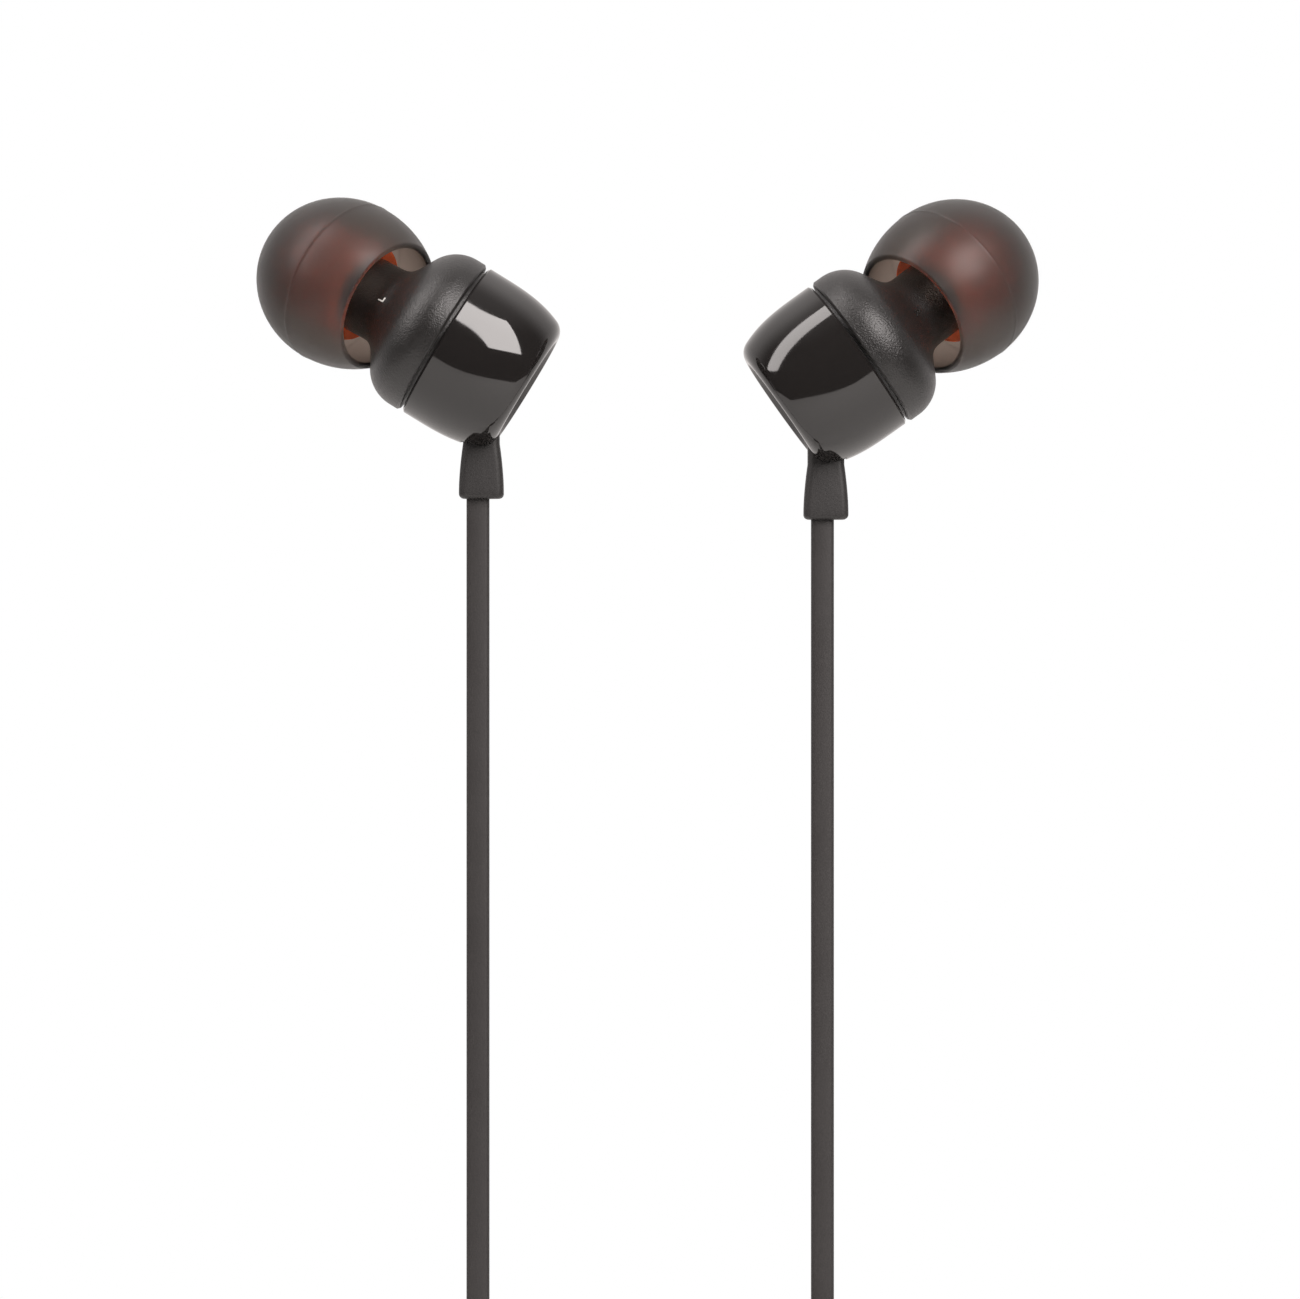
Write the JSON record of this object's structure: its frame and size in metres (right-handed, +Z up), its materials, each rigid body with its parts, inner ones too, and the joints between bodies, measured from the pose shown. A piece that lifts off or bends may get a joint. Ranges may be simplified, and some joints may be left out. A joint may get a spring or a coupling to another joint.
{
  "type": "wired in-ear earphones",
  "caption": "Wired in-ear earphones: two angled barrel housings with soft tips, flat cords, in-line remote, splitter and a 3.5 mm plug, spare cord wound in a tied coil.",
  "frame": {"origin": "middle of the line between the centres of the two ear tips, where a listener's ears hold the part", "axes": "+X from the left earbud to the right one, +Z up along the hanging cords, +Y away from the viewer"},
  "size_m": [0.0553, 0.0177, 0.1837],
  "materials": {
    "matte_black": "soft-touch warm black, fine grain",
    "gloss_black": "high gloss near-black",
    "smoke_silicone": "translucent smoky silicone, satin",
    "red_silicone": "orange-red silicone",
    "black_rubber": "matte moulded rubber",
    "cord_jacket": "matte flat cord jacket",
    "steel_mesh": "fine woven mesh",
    "driver_steel": "turned steel",
    "magnet": "nickel plated",
    "film": "amber polymer film",
    "copper": "copper winding",
    "frame_plastic": "moulded frame",
    "board_green": "solder-masked board",
    "felt": "thin felt paper",
    "contact_plate": "plated contact",
    "insulator": "black insulator",
    "button_gloss": "gloss key"
  },
  "bodies": {
    "root": {"left_rear_housing": "gloss_black", "left_front_housing": "matte_black", "left_nozzle_screen": "steel_mesh", "left_driver_frame": "frame_plastic", "left_driver_cap": "driver_steel", "left_diaphragm": "film", "left_voice_coil": "copper", "left_yoke": "driver_steel", "left_magnet": "magnet", "left_pole_plate": "driver_steel", "left_terminal_board": "board_green", "left_vent_felt": "felt", "left_strain_relief": "black_rubber", "left_cord_knot": "cord_jacket", "left_lead_wires": "copper", "right_rear_housing": "gloss_black", "right_front_housing": "matte_black", "right_nozzle_screen": "steel_mesh", "right_driver_frame": "frame_plastic", "right_driver_cap": "driver_steel", "right_diaphragm": "film", "right_voice_coil": "copper", "right_yoke": "driver_steel", "right_magnet": "magnet", "right_pole_plate": "driver_steel", "right_terminal_board": "board_green", "right_vent_felt": "felt", "right_strain_relief": "black_rubber", "right_cord_knot": "cord_jacket", "right_lead_wires": "copper", "left_leg_cord": "cord_jacket", "left_leg_coil": "cord_jacket", "right_leg_cord": "cord_jacket", "right_leg_coil": "cord_jacket", "trunk_cord": "cord_jacket", "trunk_coil": "cord_jacket", "cord_splitter": "black_rubber", "coil_tie": "black_rubber", "remote_front_shell": "matte_black", "remote_back_shell": "gloss_black", "remote_board": "board_green", "remote_switch": "driver_steel", "remote_microphone": "magnet", "plug_grip": "matte_black", "plug_strain_relief": "black_rubber", "plug_sleeve": "contact_plate", "plug_rear_ring": "contact_plate", "plug_front_ring": "contact_plate", "plug_insulator": "insulator", "plug_tip": "contact_plate"},
    "left_ear_tip": {"left_ear_tip_dome": "smoke_silicone", "left_ear_tip_core": "red_silicone"},
    "right_ear_tip": {"right_ear_tip_dome": "smoke_silicone", "right_ear_tip_core": "red_silicone"},
    "remote_button": {"remote_button": "button_gloss"}
  },
  "joints": [
    {"name": "left_tip_pull", "type": "slide", "parent": "root", "child": "left_ear_tip", "axis": [-0.7545, 0.499, 0.4263], "range_m": [0, 0.008]},
    {"name": "right_tip_pull", "type": "slide", "parent": "root", "child": "right_ear_tip", "axis": [0.6863, 0.499, 0.5292], "range_m": [0, 0.008]},
    {"name": "button_press", "type": "slide", "parent": "root", "child": "remote_button", "axis": [0, 1, 0], "range_m": [0, 0.0003], "stiffness_N_per_m": 400}
  ]
}
